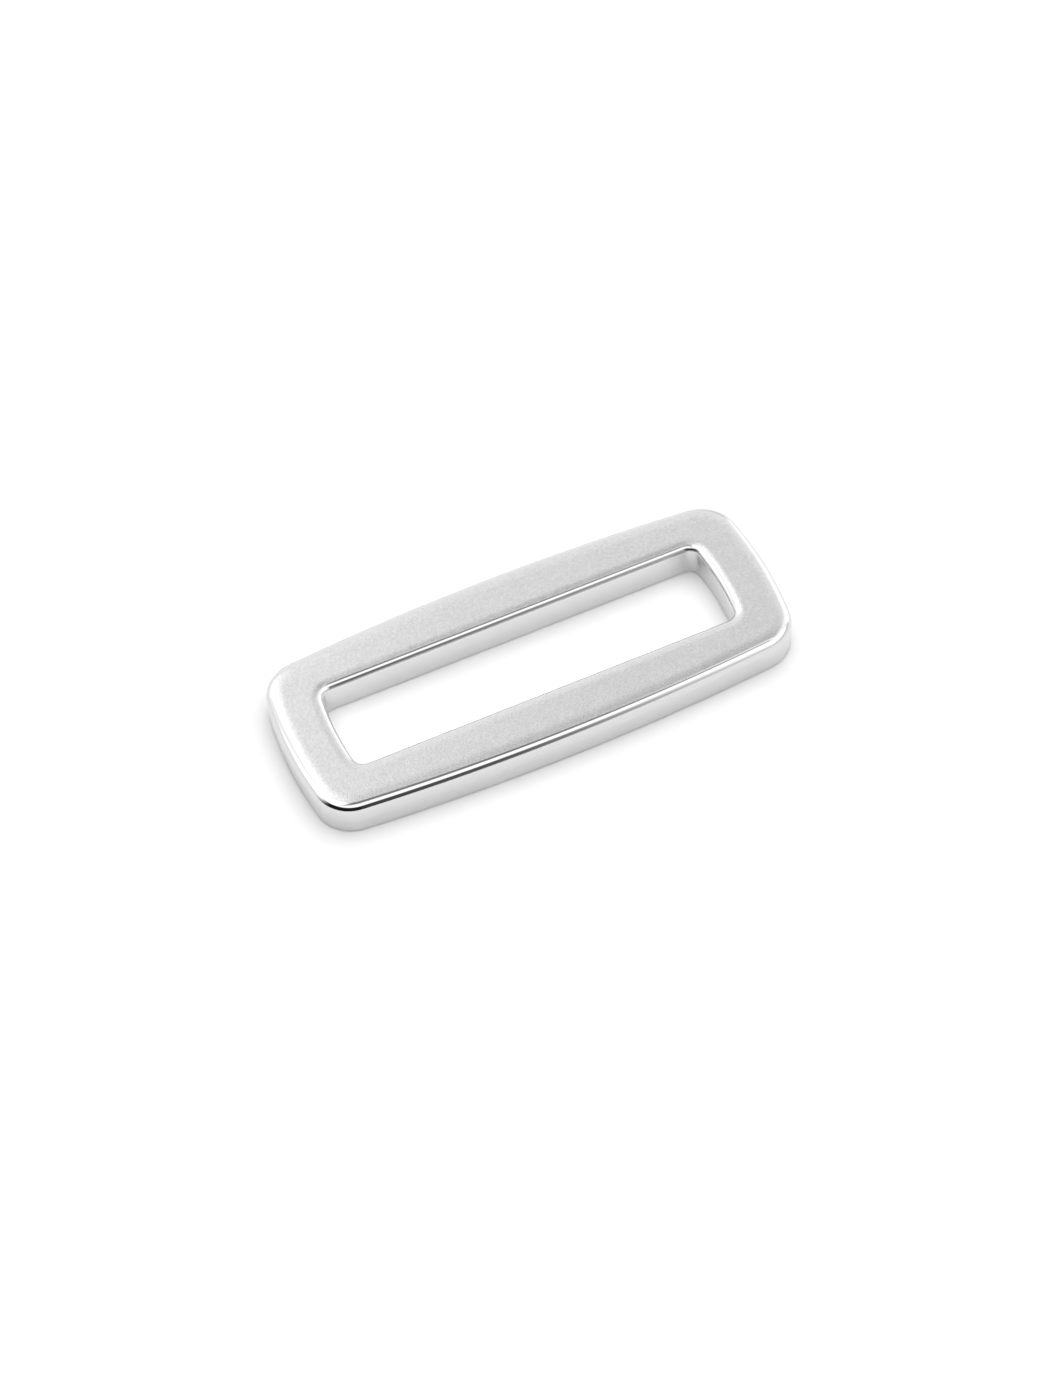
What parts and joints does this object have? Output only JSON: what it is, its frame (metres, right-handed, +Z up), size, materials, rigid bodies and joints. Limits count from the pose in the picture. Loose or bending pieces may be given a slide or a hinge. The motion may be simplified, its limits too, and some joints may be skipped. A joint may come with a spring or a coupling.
{
  "type": "buckle slider",
  "caption": "Flat cast metal buckle slider: a rounded rectangular loop with gently bowed sides and one long slot that a strap slides through.",
  "frame": {"origin": "middle of the flat back, on the surface that the slider lies on", "axes": "+X along the slot, +Y across the two long bars, +Z up out of the finished face"},
  "size_m": [0.0504, 0.0206, 0.0038],
  "materials": {
    "satin_nickel": "satin nickel plate on the face, polished on the edges and walls"
  },
  "bodies": {
    "root": {"slider_frame": "satin_nickel"}
  },
  "joints": []
}
